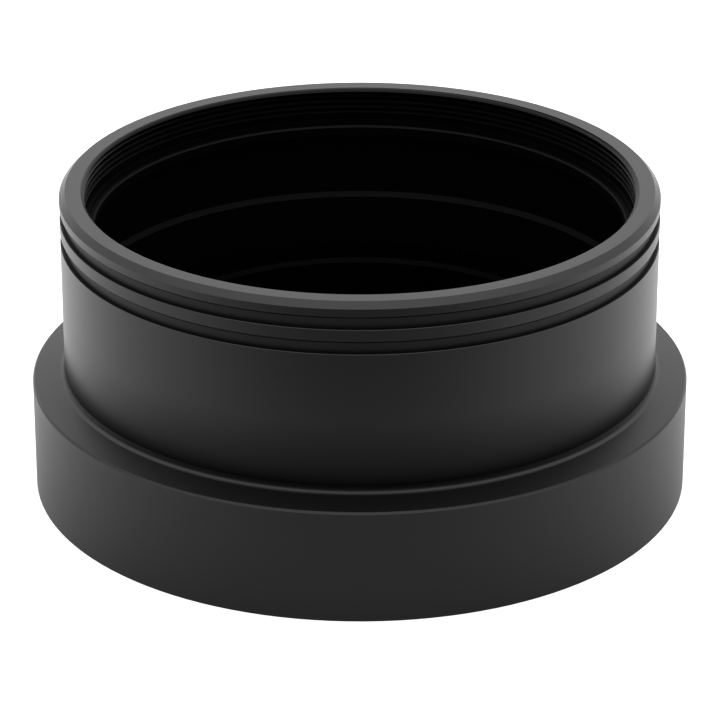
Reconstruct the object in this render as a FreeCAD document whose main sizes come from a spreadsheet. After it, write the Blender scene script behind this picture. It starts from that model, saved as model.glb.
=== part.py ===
import FreeCAD, Part
import math
import os
from types import SimpleNamespace

import Sketcher

# A large-format Barlow lens unit: a turned black housing with a threaded mouth and base, and a lens cell
# that screws up into the base with a negative doublet inside.
# Millimetres. +Z is the optical axis and points out of the mouth. The origin is the centre of the base.

os.makedirs("parts", exist_ok=True)
doc = FreeCAD.newDocument("barlow_lens")
sheet = doc.addObject("Spreadsheet::Sheet", "Dimensions")

# Driving dimensions: (alias, millimetres unless the note says otherwise, note)
DIMENSIONS = [
    ("flange_radius", 55.0, "wide base flange"),
    ("flange_height", 19.0, "top of the flange above the base"),
    ("flange_edge_break", 0.3, "bevel on the flange's upper edge"),
    ("tube_radius", 49.6, "outside of the tube"),
    ("tube_height", 52.1, "rim above the base"),
    ("flange_rise", 1.05, "the flange's top face climbs this much to the tube"),
    ("foot_fillet", 1.1, "hollow corner between tube and flange"),
    ("rim_bevel", 1.0, "outer bevel of the rim"),
    ("clamp_groove_height", 1.8, "width of a clamp groove between its flanks"),
    ("clamp_groove_depth", 0.7, ""),
    ("clamp_groove_upper_bevel", 0.35, "bevel on its upper edge"),
    ("clamp_groove_lower_bevel", 0.08, "bevel on its lower edge"),
    ("clamp_groove_centre", 44.43, "height of the lower clamp groove"),
    ("clamp_groove_pitch", 4.12, "from the lower groove to the upper one"),
    ("mouth_major", 46.0, "M92 x 1 thread, major radius"),
    ("base_major", 50.0, "M100 x 1 thread, major radius"),
    ("coarse_pitch", 1.0, "pitch of the mouth and base threads"),
    ("fine_pitch", 0.75, "pitch of the cell and ring threads"),
    ("entry_clearance", 0.05, "an entry bevel is this much wider than its thread"),
    ("mouth_relief_radius", 46.25, "run-out groove below the mouth thread"),
    ("mouth_relief_top", 47.3, ""),
    ("mouth_seat", 46.4, "ledge that a screwed-in adapter stops on"),
    ("mouth_land_radius", 44.9, "land under that ledge"),
    ("stop_top", 45.63, "upper face of the light stop"),
    ("stop_bottom", 43.9, "lower face of the light stop"),
    ("stop_radius", 44.02, "opening of the light stop"),
    ("stop_bevel", 0.3, ""),
    ("undercut_radius", 47.5, "light trap below the stop"),
    ("undercut_bottom", 31.9, ""),
    ("pilot_bore", 46.7, "bore that guides the lens cell"),
    ("pilot_bottom", 14.5, "lower end of that bore"),
    ("cell_relief_radius", 48.2, "run-out groove above the cell thread"),
    ("cell_relief_bottom", 13.7, ""),
    ("cell_hole_crest", 47.6, "crest radius of the housing's cell thread"),
    ("seal_pocket_radius", 48.3, "pocket for the seal, in the housing"),
    ("seal_pocket_top", 9.2, ""),
    ("shoulder_height", 7.8, "face that the cell's flange stops on"),
    ("base_relief_radius", 50.4, "recess round the cell's flange"),
    ("base_relief_bottom", 5.0, ""),
    ("cell_crest", 47.5, "crest radius of the cell's own thread"),
    ("cell_pilot_radius", 46.62, "outside of the cell, a sliding fit in its bore"),
    ("cell_top", 22.35, "upper face of the cell"),
    ("cell_bottom", 5.3, "lower face of the cell"),
    ("cell_flange_radius", 49.1, ""),
    ("cell_flange_bottom", 5.8, ""),
    ("cell_hub_radius", 46.2, "outside of the cell below its flange"),
    ("cell_neck_radius", 46.9, "neck that the seal sits round"),
    ("cell_thread_bottom", 9.9, "the cell's own thread starts here"),
    ("cell_thread_top", 12.1, ""),
    ("cell_thread_bevel", 0.3, ""),
    ("cell_opening", 39.2, "clear radius of the rear seat"),
    ("rear_seat", 6.2, "height of the seat under the rear element"),
    ("element_radius", 41.0, "both glass elements"),
    ("seat_clearance", 0.06, "radial play of the glass in its bore"),
    ("spanner_notch_width", 4.0, "notches in the cell's flange"),
    ("spanner_notch_depth", 1.2, ""),
    ("spanner_notch_inner", 46.9, "distance of a notch's inner end from the axis"),
    ("glass_bevel", 0.25, "bevel on the edges of both elements"),
    ("strong_curve", 400.0, "radius of the three strong glass surfaces"),
    ("weak_curve", 2500.0, "radius of the rear element's lower surface"),
    ("rear_edge", 1.2, "edge thickness of the rear element"),
    ("air_gap", 0.2, "between the elements, set by the foil tabs"),
    ("front_edge", 6.9, "edge thickness of the front element"),
    ("front_land_radius", 39.6, "inner radius of the front element's flat land"),
    ("tab_width_angle", 5.0, "degrees of the rim that one foil tab covers"),
    ("tab_inner_radius", 39.7, ""),
    ("tab_outer_radius", 40.7, ""),
    ("cushion_inner_radius", 39.7, "nylon ring on the front element"),
    ("cushion_outer_radius", 40.9, ""),
    ("cushion_height", 0.5, ""),
    ("ring_opening", 38.75, "clear radius of the retaining ring"),
    ("ring_bevel", 0.7, ""),
    ("ring_crest", 42.0, "crest radius of the retaining ring's thread"),
    ("ring_hole_crest", 42.08, "crest radius of the cell's thread for it"),
    ("ring_relief_radius", 42.6, ""),
    ("ring_relief_bottom", 14.7, ""),
    ("ring_relief_top", 15.4, ""),
    ("ring_slot_width", 2.0, "spanner slots in the retaining ring"),
    ("ring_slot_depth", 0.9, ""),
    ("ring_slot_reach", 41.0, ""),
    ("fit_gap", 0.02, "between faces that rest on each other"),
    ("seal_centre_radius", 47.6, "circle through the middle of the seal"),
    ("seal_centre_height", 8.45, ""),
    ("seal_section_radius", 0.5, ""),
    ("screw_radius", 1.0, "M2 centring screws"),
    ("screw_hole_radius", 1.05, ""),
    ("screw_height", 13.2, "height of the centring screws"),
    ("screw_outer_end", 46.1, "distance of a screw's outer end from the axis"),
    ("screw_inner_end", 41.1, "distance of its inner end"),
    ("screw_socket_radius", 0.45, "half the width of the hexagon socket"),
    ("screw_socket_depth", 0.9, ""),
]

CREST_TO_ROOT = 0.5413  # depth of an ISO thread over its pitch
GROOVE_AT_CREST = 0.75  # width of the thread groove at the crest over its pitch
GROOVE_AT_ROOT = 0.125  # width of the thread groove at the root over its pitch
OVERCUT = 0.1  # how far a thread cutter stands clear of the crest
FLANK_SLOPE = math.tan(math.radians(30))

SPANNER_NOTCHES = 4
RING_SLOTS = 2
CENTRING_SCREWS = 3
SPACER_TABS = 3


class Length:
    """A length in millimetres and the expression that gives it from the sheet."""

    def __init__(self, number, text):
        self.number = number
        self.text = text

    def __add__(self, other):
        return Length(self.number + number_of(other), f"({self.text} + {text_of(other)})")

    def __sub__(self, other):
        return Length(self.number - number_of(other), f"({self.text} - {text_of(other)})")

    def __mul__(self, other):
        return Length(self.number * number_of(other), f"({self.text} * {text_of(other)})")


def number_of(value):
    return value.number if isinstance(value, Length) else value


def text_of(value):
    return value.text if isinstance(value, Length) else repr(value)


NOTHING = Length(0.0, "0")


def fill_sheet():
    """Write the driving dimensions and return them as named lengths."""
    lengths = SimpleNamespace()
    for row, (alias, value, note) in enumerate(DIMENSIONS, start=1):
        sheet.set(f"A{row}", alias)
        sheet.set(f"B{row}", str(value))
        sheet.set(f"C{row}", note)
        sheet.setAlias(f"B{row}", alias)
        setattr(lengths, alias, Length(value, f"Dimensions.{alias}"))
    doc.recompute()
    return lengths


d = fill_sheet()


# Sketches and features


def new_body(label):
    body = doc.addObject("PartDesign::Body", label)
    body.Label = label
    return body


def origin_plane(body, role):
    return next(item for item in body.Origin.OriginFeatures if item.Role == role)


def new_sketch(body, name, role="XZ_Plane", offset=None):
    """A sketch on an origin plane, or at an offset along the plane's normal."""
    sketch = body.newObject("Sketcher::SketchObject", name)
    sketch.AttachmentSupport = (origin_plane(body, role), [""])
    sketch.MapMode = "FlatFace"
    if offset is not None:
        sketch.setExpression("AttachmentOffset.Base.z", offset.text)
    return sketch


def tie(sketch, kind, items, value):
    """Add a dimension to a sketch and bind it to the sheet."""
    index = sketch.addConstraint(Sketcher.Constraint(kind, *items, number_of(value)))
    if isinstance(value, Length):
        sketch.setExpression(f"Constraints[{index}]", value.text)


def tie_point(sketch, side, end, across, up):
    """Hold one end of a side at a place measured from the sketch's origin."""
    for kind, axis, value in (("DistanceX", -2, across), ("DistanceY", -1, up)):
        if number_of(value) == 0:
            sketch.addConstraint(Sketcher.Constraint("PointOnObject", side, end, axis))
        else:
            tie(sketch, kind, (-1, 1, side, end), value)


def arc_between(start, end, radius, bend):
    """The short arc from start to end, its centre on the left of travel for bend 1 and right for -1."""
    chord = end - start
    left = FreeCAD.Vector(-chord.y, chord.x, 0) / chord.Length
    reach = math.sqrt(radius**2 - (chord.Length / 2) ** 2)
    centre = (start + end) / 2 + left * reach * bend
    first, last = (start, end) if bend > 0 else (end, start)
    angles = [math.atan2(p.y - centre.y, p.x - centre.x) for p in (first, last)]
    circle = Part.Circle(centre, FreeCAD.Vector(0, 0, 1), radius)
    return Part.ArcOfCircle(circle, angles[0], angles[1])


def draw_outline(sketch, corners):
    """Draw a closed outline whose corners are (across, up), or (across, up, radius, bend) before an arc."""
    points = [FreeCAD.Vector(number_of(c[0]), number_of(c[1]), 0) for c in corners]
    ends = []
    for index, corner in enumerate(corners):
        start = points[index]
        end = points[(index + 1) % len(points)]
        if len(corner) == 2:
            side = sketch.addGeometry(Part.LineSegment(start, end), False)
            ends.append((side, 1, 2))
        else:
            arc = arc_between(start, end, number_of(corner[2]), corner[3])
            side = sketch.addGeometry(arc, False)
            ends.append((side, 1, 2) if corner[3] > 0 else (side, 2, 1))
    for (side, first, last), (following, entry, _) in zip(ends, ends[1:] + ends[:1]):
        sketch.addConstraint(Sketcher.Constraint("Coincident", side, last, following, entry))
    for (side, first, _), corner in zip(ends, corners):
        tie_point(sketch, side, first, corner[0], corner[1])
        if len(corner) == 4:
            tie(sketch, "Radius", (side,), corner[2])


def turned_feature(body, kind, name, sketch):
    """A Revolution or a Groove all the way round the axis."""
    feature = body.newObject(kind, name)
    feature.Profile = sketch
    feature.ReferenceAxis = (sketch, ["V_Axis"])
    feature.Angle = 360
    doc.recompute()
    return feature


def turn(body, name, corners):
    """Turn a solid of revolution from its half outline."""
    sketch = new_sketch(body, f"{name}_outline")
    draw_outline(sketch, corners)
    return turned_feature(body, "PartDesign::Revolution", name, sketch)


def cut_thread(body, name, crest, pitch, start, height, outward):
    """Cut a right-hand ISO thread groove from the crest cylinder, outward into a hole or inward."""
    way = 1 if outward else -1
    at_crest = (pitch * GROOVE_AT_CREST + OVERCUT * FLANK_SLOPE * 2) * 0.5
    at_root = pitch * GROOVE_AT_ROOT * 0.5
    root = crest + pitch * CREST_TO_ROOT * way
    clear = crest - OVERCUT * way
    sketch = new_sketch(body, f"{name}_profile")
    outline = [
        (clear, start - at_crest),
        (root, start - at_root),
        (root, start + at_root),
        (clear, start + at_crest),
    ]
    draw_outline(sketch, outline)
    helix = body.newObject("PartDesign::SubtractiveHelix", name)
    helix.Profile = sketch
    helix.ReferenceAxis = (sketch, ["V_Axis"])
    helix.Mode = 0
    helix.setExpression("Pitch", pitch.text)
    helix.setExpression("Height", text_of(height))
    helix.LeftHanded = False
    helix.Reversed = False
    doc.recompute()
    return helix


def circles_at(shape, radius, height):
    """Names of the shape's circular edges round the axis with this radius and height."""
    names = []
    for index, edge in enumerate(shape.Edges, start=1):
        if not isinstance(edge.Curve, Part.Circle):
            continue
        centre = edge.Curve.Center
        on_axis = math.hypot(centre.x, centre.y) < 1e-6
        if on_axis and abs(edge.Curve.Radius - radius) < 1e-6 and abs(centre.z - height) < 1e-6:
            names.append(f"Edge{index}")
    return names


def dress(body, kind, name, base, radius, height, size):
    """A Fillet or Chamfer on the circular edge at this radius and height."""
    feature = body.newObject(kind, name)
    feature.Base = (base, circles_at(base.Shape, radius.number, height.number))
    feature.setExpression("Radius" if kind.endswith("Fillet") else "Size", size.text)
    doc.recompute()
    return feature


def repeat_round(body, name, features, count):
    """Repeat features evenly round the axis."""
    pattern = body.newObject("PartDesign::PolarPattern", name)
    pattern.Originals = features
    pattern.Axis = (origin_plane(body, "Z_Axis"), [""])
    pattern.Angle = 360
    pattern.Occurrences = count
    body.Tip = pattern
    doc.recompute()
    return pattern


def draw_circle(sketch, radius, across, up):
    ring = sketch.addGeometry(Part.Circle(FreeCAD.Vector(1, 1, 0), FreeCAD.Vector(0, 0, 1), 1), False)
    tie(sketch, "Radius", (ring,), radius)
    tie_point(sketch, ring, 3, across, up)


def push(body, kind, name, sketch, depth, reversed_way=False):
    """A Pad along the sketch's normal or a Pocket against it, or the other way round if reversed."""
    feature = body.newObject(kind, name)
    feature.Profile = sketch
    feature.setExpression("Length", text_of(depth))
    feature.Reversed = reversed_way
    doc.recompute()
    return feature


def cut_radial_slots(body, name, inner, outer, width, height, depth, upward, count):
    """Slots with straight sides in a flat face at this height, repeated evenly round the axis."""
    sketch = new_sketch(body, f"{name}_outline", "XY_Plane", height)
    half = width * 0.5
    draw_outline(sketch, [(inner, half * -1), (outer, half * -1), (outer, half), (inner, half)])
    slot = push(body, "PartDesign::Pocket", name, sketch, depth, upward)
    return repeat_round(body, f"{name}s", [slot], count)


# Housing


def housing_outline():
    """Half outline of the housing, from the base's outer edge up the outside and down the inside."""
    mouth_entry = d.mouth_major + d.entry_clearance
    base_entry = d.base_major + d.entry_clearance
    mouth_crest = d.mouth_major - d.coarse_pitch * CREST_TO_ROOT
    base_crest = d.base_major - d.coarse_pitch * CREST_TO_ROOT
    return [
        (d.flange_radius, NOTHING),
        (d.flange_radius, d.flange_height),
        (d.tube_radius, d.flange_height + d.flange_rise),
        (d.tube_radius, d.tube_height - d.rim_bevel),
        (d.tube_radius - d.rim_bevel, d.tube_height),
        (mouth_entry, d.tube_height),
        (mouth_crest, d.tube_height - (mouth_entry - mouth_crest)),
        (mouth_crest, d.mouth_relief_top),
        (d.mouth_relief_radius, d.mouth_relief_top),
        (d.mouth_relief_radius, d.mouth_seat),
        (d.mouth_land_radius, d.mouth_seat),
        (d.mouth_land_radius, d.stop_top),
        (d.stop_radius + d.stop_bevel, d.stop_top),
        (d.stop_radius, d.stop_top - d.stop_bevel),
        (d.stop_radius, d.stop_bottom),
        (d.undercut_radius, d.stop_bottom),
        (d.undercut_radius, d.undercut_bottom),
        (d.pilot_bore, d.undercut_bottom - (d.undercut_radius - d.pilot_bore)),
        (d.pilot_bore, d.pilot_bottom),
        (d.cell_relief_radius, d.pilot_bottom),
        (d.cell_relief_radius, d.cell_relief_bottom),
        (d.cell_hole_crest, d.cell_relief_bottom),
        (d.cell_hole_crest, d.seal_pocket_top + (d.seal_pocket_radius - d.cell_hole_crest)),
        (d.seal_pocket_radius, d.seal_pocket_top),
        (d.seal_pocket_radius, d.shoulder_height),
        (d.base_relief_radius, d.shoulder_height),
        (d.base_relief_radius, d.base_relief_bottom),
        (base_crest, d.base_relief_bottom),
        (base_crest, base_entry - base_crest),
        (base_entry, NOTHING),
    ]


def cut_clamp_grooves(body):
    """Two square grooves with bevelled edges round the tube, the upper one a copy of the lower."""
    outside = d.tube_radius + 1
    surface = d.tube_radius
    floor = d.tube_radius - d.clamp_groove_depth
    upper = d.clamp_groove_upper_bevel
    lower = d.clamp_groove_lower_bevel
    low = d.clamp_groove_centre - d.clamp_groove_height * 0.5
    high = d.clamp_groove_centre + d.clamp_groove_height * 0.5
    outline = [
        (outside, low - lower),
        (surface, low - lower),
        (surface - lower, low),
        (floor, low),
        (floor, high),
        (surface - upper, high),
        (surface, high + upper),
        (outside, high + upper),
    ]
    sketch = new_sketch(body, "clamp_groove_section")
    draw_outline(sketch, outline)
    groove = turned_feature(body, "PartDesign::Groove", "clamp_groove", sketch)
    pattern = body.newObject("PartDesign::LinearPattern", "clamp_grooves")
    pattern.Originals = [groove]
    pattern.Direction = (origin_plane(body, "Z_Axis"), [""])
    pattern.setExpression("Length", d.clamp_groove_pitch.text)
    pattern.Occurrences = 2
    body.Tip = pattern
    doc.recompute()
    return pattern


def build_housing():
    body = new_body("housing")
    blank = turn(body, "housing_turning", housing_outline())
    foot_height = d.flange_height + d.flange_rise
    foot = dress(
        body, "PartDesign::Fillet", "foot_fillet", blank, d.tube_radius, foot_height, d.foot_fillet
    )
    dress(
        body,
        "PartDesign::Chamfer",
        "flange_edge",
        foot,
        d.flange_radius,
        d.flange_height,
        d.flange_edge_break,
    )
    cut_clamp_grooves(body)
    mouth_crest = d.mouth_major - d.coarse_pitch * CREST_TO_ROOT
    base_crest = d.base_major - d.coarse_pitch * CREST_TO_ROOT
    mouth_start = (d.mouth_seat + d.mouth_relief_top) * 0.5
    mouth_run = d.tube_height + d.coarse_pitch - mouth_start
    cut_thread(body, "mouth_thread", mouth_crest, d.coarse_pitch, mouth_start, mouth_run, True)
    cell_start = d.seal_pocket_top - d.fine_pitch * 0.5
    cell_run = (d.cell_relief_bottom + d.pilot_bottom) * 0.5 - cell_start
    cut_thread(body, "cell_thread", d.cell_hole_crest, d.fine_pitch, cell_start, cell_run, True)
    base_start = NOTHING - d.coarse_pitch
    base_run = d.base_relief_bottom + d.coarse_pitch * 0.5 - base_start
    cut_thread(body, "base_thread", base_crest, d.coarse_pitch, base_start, base_run, True)
    return body


# Lens cell


def build_cell_barrel():
    """The threaded cell, with a seat for the glass, a ring thread above it and a flange below."""
    body = new_body("cell_barrel")
    bore = d.element_radius + d.seat_clearance
    bevel = d.cell_thread_bevel
    outline = [
        (d.cell_hub_radius, d.cell_bottom),
        (d.cell_hub_radius, d.cell_flange_bottom),
        (d.cell_flange_radius, d.cell_flange_bottom),
        (d.cell_flange_radius, d.shoulder_height - d.fit_gap),
        (d.cell_neck_radius, d.shoulder_height - d.fit_gap),
        (d.cell_neck_radius, d.cell_thread_bottom),
        (d.cell_crest - bevel, d.cell_thread_bottom),
        (d.cell_crest, d.cell_thread_bottom + bevel),
        (d.cell_crest, d.cell_thread_top - bevel),
        (d.cell_crest - bevel, d.cell_thread_top),
        (d.cell_pilot_radius, d.cell_thread_top),
        (d.cell_pilot_radius, d.cell_top - bevel),
        (d.cell_pilot_radius - bevel, d.cell_top),
        (d.ring_hole_crest, d.cell_top),
        (d.ring_hole_crest, d.ring_relief_top),
        (d.ring_relief_radius, d.ring_relief_top),
        (d.ring_relief_radius, d.ring_relief_bottom),
        (bore, d.ring_relief_bottom),
        (bore, d.rear_seat),
        (d.cell_opening, d.rear_seat),
        (d.cell_opening, d.cell_bottom),
    ]
    turn(body, "cell_turning", outline)
    outer_start = d.cell_thread_bottom - d.fine_pitch
    outer_run = d.cell_thread_top + d.fine_pitch - outer_start
    cut_thread(body, "cell_outer_thread", d.cell_crest, d.fine_pitch, outer_start, outer_run, False)
    ring_start = (d.ring_relief_bottom + d.ring_relief_top) * 0.5
    ring_run = d.cell_top + d.fine_pitch - ring_start
    cut_thread(body, "cell_ring_thread", d.ring_hole_crest, d.fine_pitch, ring_start, ring_run, True)
    drill_screw_holes(body)
    cut_radial_slots(
        body,
        "spanner_notch",
        d.spanner_notch_inner,
        d.cell_flange_radius + 1,
        d.spanner_notch_width,
        d.cell_flange_bottom,
        d.spanner_notch_depth,
        True,
        SPANNER_NOTCHES,
    )
    return body


def drill_screw_holes(body):
    """Plain holes through the cell's wall for the centring screws."""
    outside = d.cell_pilot_radius + 1
    inside = d.element_radius - 1
    sketch = new_sketch(body, "screw_hole_circle", "YZ_Plane", outside)
    draw_circle(sketch, d.screw_hole_radius, NOTHING, d.screw_height)
    hole = push(body, "PartDesign::Pocket", "screw_hole", sketch, outside - inside)
    repeat_round(body, "screw_holes", [hole], CENTRING_SCREWS)


def build_centring_screws():
    """Hexagon-socket set screws that centre the front element, alike and counted as one part."""
    body = new_body("centring_screws")
    body.AllowCompound = True
    shank = new_sketch(body, "screw_circle", "YZ_Plane", d.screw_inner_end)
    draw_circle(shank, d.screw_radius, NOTHING, d.screw_height)
    screw = push(body, "PartDesign::Pad", "screw", shank, d.screw_outer_end - d.screw_inner_end)
    socket = new_sketch(body, "socket_hexagon", "YZ_Plane", d.screw_outer_end)
    corner_radius = d.screw_socket_radius * (1 / math.cos(math.radians(30)))
    corners = []
    for step in range(6):
        turn_angle = math.radians(60 * step)
        across = corner_radius * math.cos(turn_angle)
        up = corner_radius * math.sin(turn_angle) + d.screw_height
        corners.append((across, up))
    draw_outline(socket, corners)
    hexagon = push(body, "PartDesign::Pocket", "socket", socket, d.screw_socket_depth)
    repeat_round(body, "screws", [screw, hexagon], CENTRING_SCREWS)
    return body


def build_retaining_ring():
    """The threaded ring that holds the glass down, with two slots for a spanner."""
    body = new_body("retaining_ring")
    bottom = ring_bottom()
    outline = [
        (d.ring_crest, bottom),
        (d.ring_crest, d.cell_top),
        (d.ring_opening + d.ring_bevel, d.cell_top),
        (d.ring_opening, d.cell_top - d.ring_bevel),
        (d.ring_opening, bottom),
    ]
    turn(body, "ring_turning", outline)
    start = bottom - d.fine_pitch
    run = d.cell_top + d.fine_pitch - start
    cut_thread(body, "ring_thread", d.ring_crest, d.fine_pitch, start, run, False)
    cut_radial_slots(
        body,
        "ring_slot",
        d.ring_opening - 1,
        d.ring_slot_reach,
        d.ring_slot_width,
        d.cell_top,
        d.ring_slot_depth,
        False,
        RING_SLOTS,
    )
    return body


# Glass and soft parts


def sagitta(reach, curve):
    """How far a surface of this radius curves away over this reach from the axis."""
    number = curve.number - math.sqrt(curve.number**2 - reach.number**2)
    return Length(number, f"({curve.text} - sqrt({curve.text} ^ 2 - {reach.text} ^ 2))")


def rear_top():
    return d.rear_seat + d.fit_gap + d.rear_edge


def front_land():
    return rear_top() + d.air_gap + d.front_edge


def ring_bottom():
    return front_land() + d.cushion_height + d.fit_gap * 2


def build_rear_element():
    """A positive meniscus, its strong side up."""
    body = new_body("rear_element")
    reach = d.element_radius - d.glass_bevel
    bottom = d.rear_seat + d.fit_gap
    outline = [
        (NOTHING, bottom + sagitta(reach, d.weak_curve), d.weak_curve, -1),
        (reach, bottom),
        (d.element_radius, bottom + d.glass_bevel),
        (d.element_radius, rear_top() - d.glass_bevel),
        (reach, rear_top(), d.strong_curve, 1),
        (NOTHING, rear_top() + sagitta(reach, d.strong_curve)),
    ]
    turn(body, "rear_glass", outline)
    return body


def build_front_element():
    """A negative lens, hollow on both sides, with a flat land round its upper face."""
    body = new_body("front_element")
    reach = d.element_radius - d.glass_bevel
    bottom = rear_top() + d.air_gap
    outline = [
        (NOTHING, bottom + sagitta(reach, d.strong_curve), d.strong_curve, -1),
        (reach, bottom),
        (d.element_radius, bottom + d.glass_bevel),
        (d.element_radius, front_land() - d.glass_bevel),
        (reach, front_land()),
        (d.front_land_radius, front_land(), d.strong_curve, -1),
        (NOTHING, front_land() - sagitta(d.front_land_radius, d.strong_curve)),
    ]
    turn(body, "front_glass", outline)
    return body


def build_spacer_tab(number):
    """A foil tab between the elements, curved like the glass."""
    body = new_body(f"spacer_tab_{number}")
    reach = d.element_radius - d.glass_bevel
    crown = rear_top() + sagitta(reach, d.strong_curve) + d.fit_gap * 0.5
    inner = crown - sagitta(d.tab_inner_radius, d.strong_curve)
    outer = crown - sagitta(d.tab_outer_radius, d.strong_curve)
    thickness = d.air_gap - d.fit_gap
    sketch = new_sketch(body, f"tab_{number}_outline")
    outline = [
        (d.tab_inner_radius, inner, d.strong_curve, -1),
        (d.tab_outer_radius, outer),
        (d.tab_outer_radius, outer + thickness, d.strong_curve, 1),
        (d.tab_inner_radius, inner + thickness),
    ]
    draw_outline(sketch, outline)
    tab = turned_feature(body, "PartDesign::Revolution", f"tab_{number}", sketch)
    tab.setExpression("Angle", d.tab_width_angle.text)
    tab.Midplane = True
    angle = 360 / SPACER_TABS * (number - 0.5)
    body.Placement = FreeCAD.Placement(FreeCAD.Vector(), FreeCAD.Rotation(FreeCAD.Vector(0, 0, 1), angle))
    doc.recompute()
    return body


def build_cushion_ring():
    """A nylon ring between the front element and the retaining ring."""
    body = new_body("cushion_ring")
    bottom = front_land() + d.fit_gap
    top = bottom + d.cushion_height
    outline = [
        (d.cushion_outer_radius, bottom),
        (d.cushion_outer_radius, top),
        (d.cushion_inner_radius, top),
        (d.cushion_inner_radius, bottom),
    ]
    turn(body, "cushion_turning", outline)
    return body


def build_seal():
    """The round-section rubber ring under the housing's cell thread."""
    body = new_body("cell_seal_ring")
    sketch = new_sketch(body, "seal_section")
    draw_circle(sketch, d.seal_section_radius, d.seal_centre_radius, d.seal_centre_height)
    turned_feature(body, "PartDesign::Revolution", "seal", sketch)
    return body


# Checks and export

CUTS = (
    "PartDesign::Groove",
    "PartDesign::Pocket",
    "PartDesign::SubtractiveHelix",
    "PartDesign::Chamfer",
    "PartDesign::PolarPattern",
    "PartDesign::LinearPattern",
)


def check_features(bodies):
    """Stop if any object failed, any shape is bad, or a cut took nothing away."""
    for item in doc.Objects:
        if "Invalid" in item.State or "Error" in item.State:
            raise RuntimeError(f"{item.Label} did not compute: {item.State}")
    for body in bodies:
        if body.Shape.isNull() or not body.Shape.isValid():
            raise RuntimeError(f"{body.Label} has no valid shape")
        additive = body.Label == "centring_screws"
        for feature in body.Group:
            if feature.TypeId in CUTS and not additive:
                base = feature.BaseFeature.Shape.Volume
                if feature.Shape.Volume >= base - 0.01:
                    raise RuntimeError(f"{feature.Label} took no material away")


def main():
    bodies = [build_housing(), build_seal(), build_cell_barrel(), build_rear_element()]
    bodies += [build_spacer_tab(number) for number in range(1, SPACER_TABS + 1)]
    bodies += [build_front_element(), build_centring_screws(), build_cushion_ring()]
    bodies.append(build_retaining_ring())
    doc.recompute()
    check_features(bodies)
    for body in bodies:
        body.Shape.exportStep(f"parts/{body.Label}.step")
        box = body.Shape.BoundBox
        size = f"z {box.ZMin:.2f} to {box.ZMax:.2f}, {box.XLength:.2f} wide"
        print(f"{body.Label}: {len(body.Shape.Solids)} solid, {body.Shape.Volume:.1f} mm3, {size}")


main()
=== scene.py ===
import math

import bpy
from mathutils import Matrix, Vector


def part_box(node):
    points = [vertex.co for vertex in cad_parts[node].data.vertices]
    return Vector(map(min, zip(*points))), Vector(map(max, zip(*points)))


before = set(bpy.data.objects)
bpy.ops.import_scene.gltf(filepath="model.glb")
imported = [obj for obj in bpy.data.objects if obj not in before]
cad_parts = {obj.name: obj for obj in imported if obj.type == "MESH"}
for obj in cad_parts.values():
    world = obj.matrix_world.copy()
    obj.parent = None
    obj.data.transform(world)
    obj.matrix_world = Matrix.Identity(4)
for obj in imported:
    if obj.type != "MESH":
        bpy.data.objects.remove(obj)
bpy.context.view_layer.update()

# Looks for a black turned lens unit in a white studio. Metres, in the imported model's own frame.

LOW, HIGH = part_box("housing")
BASE_RADIUS = (HIGH[0] - LOW[0]) / 2

# Camera: the aim point's height and the distance are in base radii, so they follow the model's size
CAMERA_ELEVATION = math.radians(24.42)
CAMERA_DISTANCE = 11.1 * BASE_RADIUS
CAMERA_AIM_HEIGHT = 0.3664 * BASE_RADIUS
CAMERA_LENS = 181.0
CAMERA_SENSOR = 36.0
CAMERA_SHIFT_X = 0.0002

# Studio: brightness of the surroundings by direction
SKY_TOP = 2.35
SKY_SIDE = 1.2
SKY_FRONT = 0.45

# The white table glows with painted light, stronger at its two sides and weaker towards the camera, with a
# painted shadow under and beside the unit
TABLE_SIZE = 12.0
TABLE_COLOUR = (0.15, 0.15, 0.15, 1)
TABLE_GLOW = 0.8
TABLE_SIDE_GLOW = 1.25
TABLE_FRONT_GLOW = 0.15
TABLE_SIDE_START = 0.3 * BASE_RADIUS
TABLE_SIDE_END = 2.5 * BASE_RADIUS
TABLE_FRONT_START = 1.6 * BASE_RADIUS
TABLE_FRONT_END = 3.2 * BASE_RADIUS
# Painted shadow around the unit: no glow inside the first radius, rising to full glow at the second
TABLE_PAINTED_SHADOW_EDGE = 0.98 * BASE_RADIUS
TABLE_PAINTED_SHADOW_END = 1.4 * BASE_RADIUS
TABLE_GLOW_AT_PAINTED_SHADOW = 0.75

# The flat black inside the housing reaches out to this radius and up to the rim
BORE_RADIUS = 0.873 * BASE_RADIUS
BORE_TOP = HIGH[2]
BORE_FADE = 0.0003

# Outside, the foot and the clamp grooves are turned more coarsely than the tube, and the tube is darkened
# with painted shade where it meets the foot
TUBE_RADIUS = 0.902 * BASE_RADIUS
FOOT_HEIGHT = 0.38 * BASE_RADIUS
FOOT_SHADE_FADE = 0.2 * BASE_RADIUS
GROOVE_TOP = 0.905 * BASE_RADIUS
STEP = 0.0004
FLAT_BLACK = (0.015, 0.015, 0.0155)
TUBE_ROUGHNESS = 0.38
GROOVE_EXTRA_ROUGHNESS = 0.2
FOOT_SHARE = 0.3
# Strength of the painted shade on the tube just above the foot
CORNER_PAINTED_SHADE = 0.6


# Node helpers


def new_material(name):
    """A material that holds only its shader and its output."""
    material = bpy.data.materials.new(name)
    material.use_nodes = True
    nodes = material.node_tree.nodes
    shader = next(node for node in nodes if node.type == "BSDF_PRINCIPLED")
    return material, shader


def add_node(tree, kind, **values):
    """Add a node, then set its properties, or its inputs where the name is an input's."""
    node = tree.nodes.new(kind)
    for name, value in values.items():
        if name in node.inputs:
            node.inputs[name].default_value = value
        else:
            setattr(node, name, value)
    return node


def add_math(tree, operation, first, second):
    """A Math node; each operand is a socket or a number."""
    node = tree.nodes.new("ShaderNodeMath")
    node.operation = operation
    for slot, operand in zip(node.inputs, (first, second)):
        if isinstance(operand, bpy.types.NodeSocket):
            tree.links.new(operand, slot)
        else:
            slot.default_value = operand
    return node.outputs[0]


def product(tree, first, second):
    return add_math(tree, "MULTIPLY", first, second)


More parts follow.
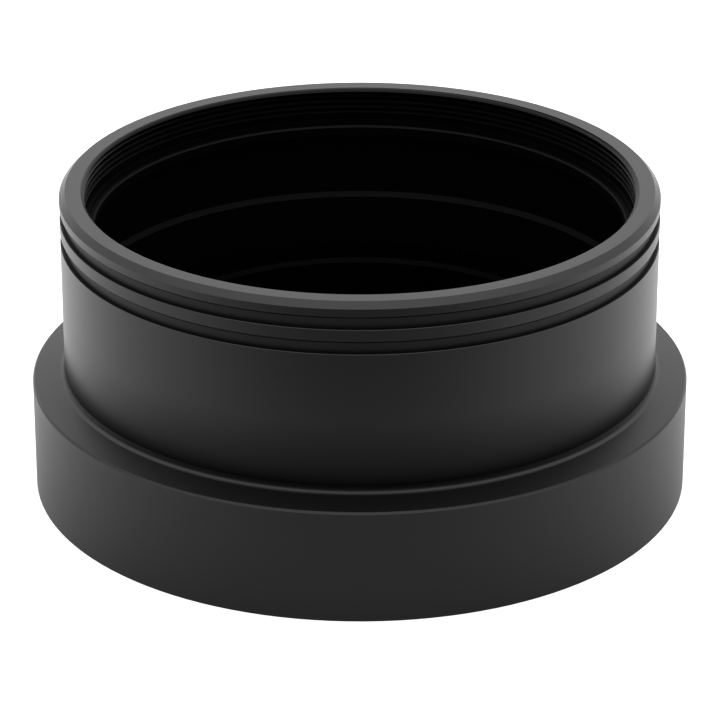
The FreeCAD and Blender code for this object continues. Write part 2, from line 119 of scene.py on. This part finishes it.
def lathe_coordinates(tree):
    """Sockets for the position along the optical axis and the distance from it, in metres."""
    place = add_node(tree, "ShaderNodeTexCoord")
    split = add_node(tree, "ShaderNodeSeparateXYZ")
    tree.links.new(place.outputs["Object"], split.inputs[0])
    squares = [product(tree, split.outputs[name], split.outputs[name]) for name in ("X", "Y")]
    radius = add_math(tree, "SQRT", add_math(tree, "ADD", *squares), 0.0)
    return place.outputs["Object"], split.outputs["Z"], radius


def turning_marks(tree, height, radius, spacing):
    """Noise that only varies along the axis and with radius, like the rings a lathe leaves."""
    vector = add_node(tree, "ShaderNodeCombineXYZ")
    tree.links.new(height, vector.inputs["X"])
    tree.links.new(radius, vector.inputs["Y"])
    noise = add_node(tree, "ShaderNodeTexNoise", Scale=1 / spacing, Detail=3.0, Roughness=0.6)
    tree.links.new(vector.outputs[0], noise.inputs["Vector"])
    return noise.outputs["Fac"]


def map_range(tree, value, start, end, low=0.0, high=1.0, kind="LINEAR"):
    """Map a value that runs from start to end to one that runs from low to high, and hold it beyond them."""
    node = add_node(tree, "ShaderNodeMapRange", interpolation_type=kind)
    for name, number in (("From Min", start), ("From Max", end), ("To Min", low), ("To Max", high)):
        node.inputs[name].default_value = number
    tree.links.new(value, node.inputs["Value"])
    return node.outputs["Result"]


def blend_range(tree, factor, low, high):
    """Map a 0 to 1 factor to a range."""
    return map_range(tree, factor, 0.0, 1.0, low, high)


def mix_colours(tree, factor, first, second):
    """Mix two colours by a factor; each is a socket or a colour."""
    node = add_node(tree, "ShaderNodeMix", data_type="RGBA")
    tree.links.new(factor, node.inputs[0])
    for slot, colour in ((node.inputs[6], first), (node.inputs[7], second)):
        if isinstance(colour, bpy.types.NodeSocket):
            tree.links.new(colour, slot)
        else:
            slot.default_value = (*colour, 1)
    return node.outputs[2]


def add_bump(tree, shader, height, strength, distance):
    bump = add_node(tree, "ShaderNodeBump", Strength=strength, Distance=distance)
    tree.links.new(height, bump.inputs["Height"])
    tree.links.new(bump.outputs["Normal"], shader.inputs["Normal"])


# Materials


def satin_gloss(tree, place, rings, roughness, spread):
    """Roughness that varies with the turning marks and in patches."""
    patches = add_node(tree, "ShaderNodeTexNoise", Scale=38.0, Detail=3.0, Roughness=0.55)
    tree.links.new(place, patches.inputs["Vector"])
    mottle = product(tree, add_math(tree, "ADD", patches.outputs["Fac"], rings), 0.5)
    return blend_range(tree, mottle, roughness - spread, roughness + spread), patches.outputs["Fac"]


def satin_relief(tree, shader, place, rings):
    """The lathe's rings and the fine grain that anodising leaves on them."""
    grain = add_node(tree, "ShaderNodeTexNoise", Scale=4500.0, Detail=2.0, Roughness=0.5)
    tree.links.new(place, grain.inputs["Vector"])
    relief = add_math(tree, "ADD", product(tree, grain.outputs["Fac"], 0.4), rings)
    add_bump(tree, shader, relief, 0.1, 0.00002)


def inside_bore(tree, height, radius):
    """1 on the surfaces inside the housing, 0 outside, fading over the edge of the mouth."""
    within = map_range(tree, radius, BORE_RADIUS + STEP / 2, BORE_RADIUS - STEP / 2)
    return product(tree, within, map_range(tree, height, BORE_TOP, BORE_TOP - BORE_FADE))


def foot_painted_shade_mask(tree, height, radius):
    """Mask for the painted shade: 1 on the tube just above the foot, fading upwards."""
    on_tube = map_range(tree, radius, TUBE_RADIUS + STEP, TUBE_RADIUS + STEP / 2)
    return product(tree, on_tube, map_range(tree, height, FOOT_HEIGHT + FOOT_SHADE_FADE, FOOT_HEIGHT))


def coarser_share(tree, height, radius):
    """1 in the clamp grooves, FOOT_SHARE on the foot, 0 on the tube and the rim."""
    foot = map_range(tree, radius, TUBE_RADIUS, TUBE_RADIUS + STEP)
    groove = map_range(tree, radius, TUBE_RADIUS - STEP / 2, TUBE_RADIUS - STEP)
    groove = product(tree, groove, map_range(tree, height, GROOVE_TOP + STEP, GROOVE_TOP))
    return add_math(tree, "ADD", blend_range(tree, foot, 0.0, FOOT_SHARE), groove)


def housing_black(name):
    """Dyed black anodised aluminium: satin outside, a flat black inside that stops stray light, and painted
    shade on the tube just above the foot.
    """
    material, shader = new_material(name)
    tree = material.node_tree
    place, height, radius = lathe_coordinates(tree)
    rings = turning_marks(tree, height, radius, 0.0006)
    inside = inside_bore(tree, height, radius)
    gloss, patches = satin_gloss(tree, place, rings, TUBE_ROUGHNESS, 0.03)
    coarser = coarser_share(tree, height, radius)
    gloss = add_math(tree, "ADD", gloss, blend_range(tree, coarser, 0.0, GROOVE_EXTRA_ROUGHNESS))
    tree.links.new(gloss, shader.inputs["Roughness"])
    dye = mix_colours(tree, patches, (0.0009, 0.0009, 0.001), (0.0015, 0.0015, 0.0016))
    tree.links.new(mix_colours(tree, inside, dye, FLAT_BLACK), shader.inputs["Base Color"])
    # Painted shade: a metallic mix with the near-black dye darkens the tube just above the foot
    painted_corner_shade = blend_range(tree, foot_painted_shade_mask(tree, height, radius), 0.0, CORNER_PAINTED_SHADE)
    tree.links.new(add_math(tree, "MAXIMUM", inside, painted_corner_shade), shader.inputs["Metallic"])
    shader.inputs["IOR"].default_value = 1.5
    satin_relief(tree, shader, place, rings)
    return material


def cell_black(name):
    """The lens cell's flat black anodising, with the lathe's fine rings."""
    material, shader = new_material(name)
    tree = material.node_tree
    place, height, radius = lathe_coordinates(tree)
    rings = turning_marks(tree, height, radius, 0.0004)
    gloss, patches = satin_gloss(tree, place, rings, 0.5, 0.06)
    tree.links.new(gloss, shader.inputs["Roughness"])
    dye = mix_colours(tree, patches, (0.0035, 0.0035, 0.0037), (0.0055, 0.0055, 0.0058))
    tree.links.new(dye, shader.inputs["Base Color"])
    shader.inputs["Metallic"].default_value = 1.0
    satin_relief(tree, shader, place, rings)
    return material


def coated_glass(name):
    """Clear optical glass with a green anti-reflection coating."""
    material, shader = new_material(name)
    tree = material.node_tree
    place, _, radius = lathe_coordinates(tree)
    sleeks = add_node(tree, "ShaderNodeTexNoise", Scale=900.0, Detail=2.0)
    tree.links.new(place, sleeks.inputs["Vector"])
    tree.links.new(blend_range(tree, sleeks.outputs["Fac"], 0.0, 0.03), shader.inputs["Roughness"])
    shader.inputs["Base Color"].default_value = (0.93, 0.96, 0.94, 1)
    shader.inputs["Transmission Weight"].default_value = 1.0
    shader.inputs["IOR"].default_value = 1.52
    shader.inputs["Specular IOR Level"].default_value = 0.18
    shader.inputs["Specular Tint"].default_value = (0.17, 0.4, 0.27, 1)
    return material


def rubber(name):
    material, shader = new_material(name)
    tree = material.node_tree
    place, _, _ = lathe_coordinates(tree)
    speckle = add_node(tree, "ShaderNodeTexNoise", Scale=2600.0, Detail=4.0, Roughness=0.6)
    tree.links.new(place, speckle.inputs["Vector"])
    tree.links.new(blend_range(tree, speckle.outputs["Fac"], 0.5, 0.72), shader.inputs["Roughness"])
    add_bump(tree, shader, speckle.outputs["Fac"], 0.25, 0.00003)
    shader.inputs["Base Color"].default_value = (0.012, 0.012, 0.013, 1)
    return material


def nylon(name):
    material, shader = new_material(name)
    tree = material.node_tree
    place, height, radius = lathe_coordinates(tree)
    cloud = add_node(tree, "ShaderNodeTexNoise", Scale=500.0, Detail=3.0)
    tree.links.new(place, cloud.inputs["Vector"])
    tree.links.new(blend_range(tree, cloud.outputs["Fac"], 0.42, 0.6), shader.inputs["Roughness"])
    add_bump(tree, shader, turning_marks(tree, height, radius, 0.0002), 0.12, 0.00002)
    shader.inputs["Base Color"].default_value = (0.02, 0.02, 0.02, 1)
    shader.inputs["Subsurface Weight"].default_value = 0.05
    shader.inputs["Subsurface Scale"].default_value = 0.0003
    return material


def foil(name):
    """Rolled metal foil with fine drawn streaks."""
    material, shader = new_material(name)
    tree = material.node_tree
    place, _, _ = lathe_coordinates(tree)
    stretch = add_node(tree, "ShaderNodeMapping")
    stretch.inputs["Scale"].default_value = (400.0, 9000.0, 400.0)
    streaks = add_node(tree, "ShaderNodeTexNoise", Scale=1.0, Detail=3.0)
    tree.links.new(place, stretch.inputs["Vector"])
    tree.links.new(stretch.outputs[0], streaks.inputs["Vector"])
    tree.links.new(blend_range(tree, streaks.outputs["Fac"], 0.18, 0.4), shader.inputs["Roughness"])
    shader.inputs["Base Color"].default_value = (0.72, 0.73, 0.75, 1)
    shader.inputs["Metallic"].default_value = 1.0
    return material


def blackened_steel(name):
    material, shader = new_material(name)
    tree = material.node_tree
    place, _, _ = lathe_coordinates(tree)
    bloom = add_node(tree, "ShaderNodeTexNoise", Scale=1800.0, Detail=4.0)
    tree.links.new(place, bloom.inputs["Vector"])
    tree.links.new(blend_range(tree, bloom.outputs["Fac"], 0.28, 0.5), shader.inputs["Roughness"])
    shader.inputs["Base Color"].default_value = (0.045, 0.045, 0.05, 1)
    shader.inputs["Metallic"].default_value = 1.0
    add_bump(tree, shader, bloom.outputs["Fac"], 0.15, 0.00002)
    return material


def paint(node_names, material):
    for name in node_names:
        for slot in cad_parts[name].material_slots:
            slot.material = material


def finish_pieces():
    """Give every CAD node its material."""
    paint(["housing"], housing_black("housing_black"))
    paint(["cell_barrel", "retaining_ring"], cell_black("cell_black"))
    paint(["front_element", "rear_element"], coated_glass("coated_glass"))
    paint(["cell_seal_ring"], rubber("seal_rubber"))
    paint(["cushion_ring"], nylon("black_nylon"))
    paint(["centring_screws"], blackened_steel("blackened_steel"))
    tabs = [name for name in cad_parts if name.startswith("spacer_tab")]
    paint(tabs, foil("spacer_foil"))


# Studio


def painted_table_glow(tree):
    """The table's painted glow: a painted shadow with none under the unit and less beside it, weaker in
    front, stronger at its sides.
    """
    place, _, radius = lathe_coordinates(tree)
    split = add_node(tree, "ShaderNodeSeparateXYZ")
    tree.links.new(place, split.inputs[0])
    aside = add_math(tree, "ABSOLUTE", split.outputs["X"], 0.0)
    # Painted light: more glow towards the table's two sides, less towards the camera
    sides = map_range(
        tree, aside, TABLE_SIDE_START, TABLE_SIDE_END, TABLE_GLOW, TABLE_SIDE_GLOW, "SMOOTHSTEP"
    )
    near = map_range(
        tree,
        split.outputs["Y"],
        -TABLE_FRONT_END,
        -TABLE_FRONT_START,
        TABLE_FRONT_GLOW / TABLE_GLOW,
        1.0,
        "SMOOTHSTEP",
    )
    # Painted shadow: no glow under the unit and less glow just beside it
    past_painted_shadow = add_math(tree, "GREATER_THAN", radius, TABLE_PAINTED_SHADOW_EDGE)
    painted_shadow_fade = map_range(tree, radius, TABLE_PAINTED_SHADOW_EDGE, TABLE_PAINTED_SHADOW_END, TABLE_GLOW_AT_PAINTED_SHADOW, 1.0)
    return product(tree, product(tree, sides, near), product(tree, past_painted_shadow, painted_shadow_fade))


def build_table():
    """A plain white table under the base, with a painted glow that is brighter towards its two sides and a
    painted shadow around the unit.
    """
    half = TABLE_SIZE / 2
    corners = [(-half, -half), (half, -half), (half, half), (-half, half)]
    mesh = bpy.data.meshes.new("studio_table")
    mesh.from_pydata([(x, y, LOW[2]) for x, y in corners], [], [(0, 1, 2, 3)])
    table = bpy.data.objects.new("studio_table", mesh)
    bpy.context.scene.collection.objects.link(table)
    material, shader = new_material("studio_table")
    tree = material.node_tree
    tree.links.new(painted_table_glow(tree), shader.inputs["Emission Strength"])
    shader.inputs["Emission Color"].default_value = (1, 1, 1, 1)
    shader.inputs["Base Color"].default_value = TABLE_COLOUR
    shader.inputs["Roughness"].default_value = 0.9
    shader.inputs["Specular IOR Level"].default_value = 0.1
    mesh.materials.append(material)


def build_sky():
    """White studio walls all round and a brighter ceiling, as a smooth world light."""
    world = bpy.data.worlds.new("studio")
    bpy.context.scene.world = world
    world.use_nodes = True
    tree = world.node_tree
    background = next(node for node in tree.nodes if node.type == "BACKGROUND")
    place = add_node(tree, "ShaderNodeTexCoord")
    split = add_node(tree, "ShaderNodeSeparateXYZ")
    tree.links.new(place.outputs["Generated"], split.inputs[0])
    walls = map_range(tree, split.outputs["Y"], -1.0, 0.3, SKY_FRONT, SKY_SIDE, "SMOOTHSTEP")
    ceiling = map_range(tree, split.outputs["Z"], 0.35, 0.95, kind="SMOOTHSTEP")
    mix = add_node(tree, "ShaderNodeMix", data_type="FLOAT")
    tree.links.new(ceiling, mix.inputs[0])
    tree.links.new(walls, mix.inputs[2])
    mix.inputs[3].default_value = SKY_TOP
    tree.links.new(mix.outputs[0], background.inputs["Strength"])
    background.inputs["Color"].default_value = (1, 1, 1, 1)


def build_camera():
    """A long lens looking down at the front of the unit."""
    data = bpy.data.cameras.new("camera")
    data.lens = CAMERA_LENS
    data.sensor_width = CAMERA_SENSOR
    data.shift_x = CAMERA_SHIFT_X
    data.clip_start = 0.01
    data.clip_end = 50
    camera = bpy.data.objects.new("camera", data)
    bpy.context.scene.collection.objects.link(camera)
    back = CAMERA_DISTANCE * math.cos(CAMERA_ELEVATION)
    up = CAMERA_DISTANCE * math.sin(CAMERA_ELEVATION) + CAMERA_AIM_HEIGHT
    camera.location = (0, -back, LOW[2] + up)
    camera.rotation_euler = (math.pi / 2 - CAMERA_ELEVATION, 0, 0)
    bpy.context.scene.camera = camera


finish_pieces()
build_table()
build_sky()
build_camera()
bpy.context.scene.view_settings.view_transform = "Standard"
bpy.context.scene.view_settings.look = "High Contrast"
